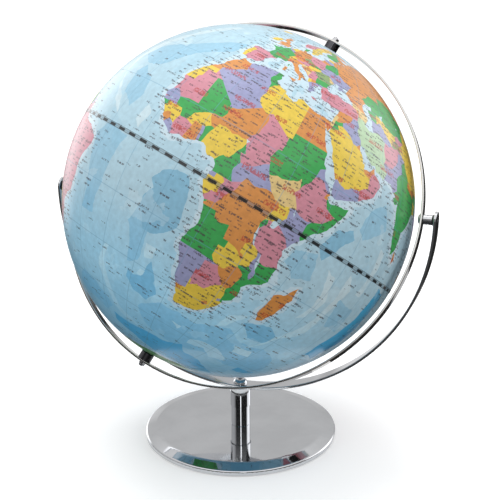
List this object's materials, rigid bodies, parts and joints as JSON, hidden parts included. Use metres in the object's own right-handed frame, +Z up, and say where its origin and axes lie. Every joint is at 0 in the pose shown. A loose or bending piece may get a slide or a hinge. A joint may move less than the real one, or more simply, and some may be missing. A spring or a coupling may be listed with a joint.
{
  "type": "desk globe",
  "caption": "Desk globe: a printed map ball turns in a chrome meridian ring, which tips in a half-ring arm on a weighted round base.",
  "frame": {"origin": "middle of the underside of the base, on the surface that the globe stands on", "axes": "+Z up; +X along the pivot axis to the right-hand pivot, so the support arm lies in the XZ plane; the meridian ring is stored leaning 27.35 degrees back, its top towards +Y"},
  "size_m": [0.3494, 0.3048, 0.3729],
  "materials": {
    "map_print": "varnished political map print",
    "tape_print": "varnished tape with a dashed line",
    "shell_plastic": "bare moulded",
    "chrome": "polished plate",
    "dark_chrome": "dark polished plate",
    "zinc_steel": "zinc plated",
    "cast_iron": "raw casting",
    "black_nylon": "moulded",
    "foam": "closed-cell foam sheet"
  },
  "bodies": {
    "stand": {"base_cover": "chrome", "base_weight": "cast_iron", "base_pad": "foam", "base_washer": "zinc_steel", "base_bolt": "zinc_steel", "post": "chrome", "support_arm": "chrome", "arm_screw": "chrome", "pivot_screw_left": "zinc_steel", "pivot_screw_right": "zinc_steel", "pivot_spacer_left": "chrome", "pivot_spacer_right": "chrome", "pivot_washer_left": "black_nylon", "pivot_washer_right": "black_nylon"},
    "ring": {"meridian_ring": "chrome", "pole_pin_north": "zinc_steel", "pole_pin_south": "zinc_steel", "pole_collar_north": "dark_chrome", "pole_collar_south": "dark_chrome", "pole_nut_north": "chrome", "pole_nut_south": "chrome"},
    "globe": {"north_hemisphere": "map_print", "south_hemisphere": "map_print", "equator_tape": "tape_print", "splice_ring": "shell_plastic", "pole_bush_north": "black_nylon", "pole_bush_south": "black_nylon"}
  },
  "joints": [
    {"name": "ring_tilt", "type": "hinge", "parent": "stand", "child": "ring", "pos_m": [0, 0, 0.2205], "axis": [1, 0, 0], "continuous": true},
    {"name": "globe_spin", "type": "hinge", "parent": "ring", "child": "globe", "pos_m": [0, 0, 0.2205], "axis": [0.3978, 0.4215, 0.8149], "continuous": true}
  ]
}
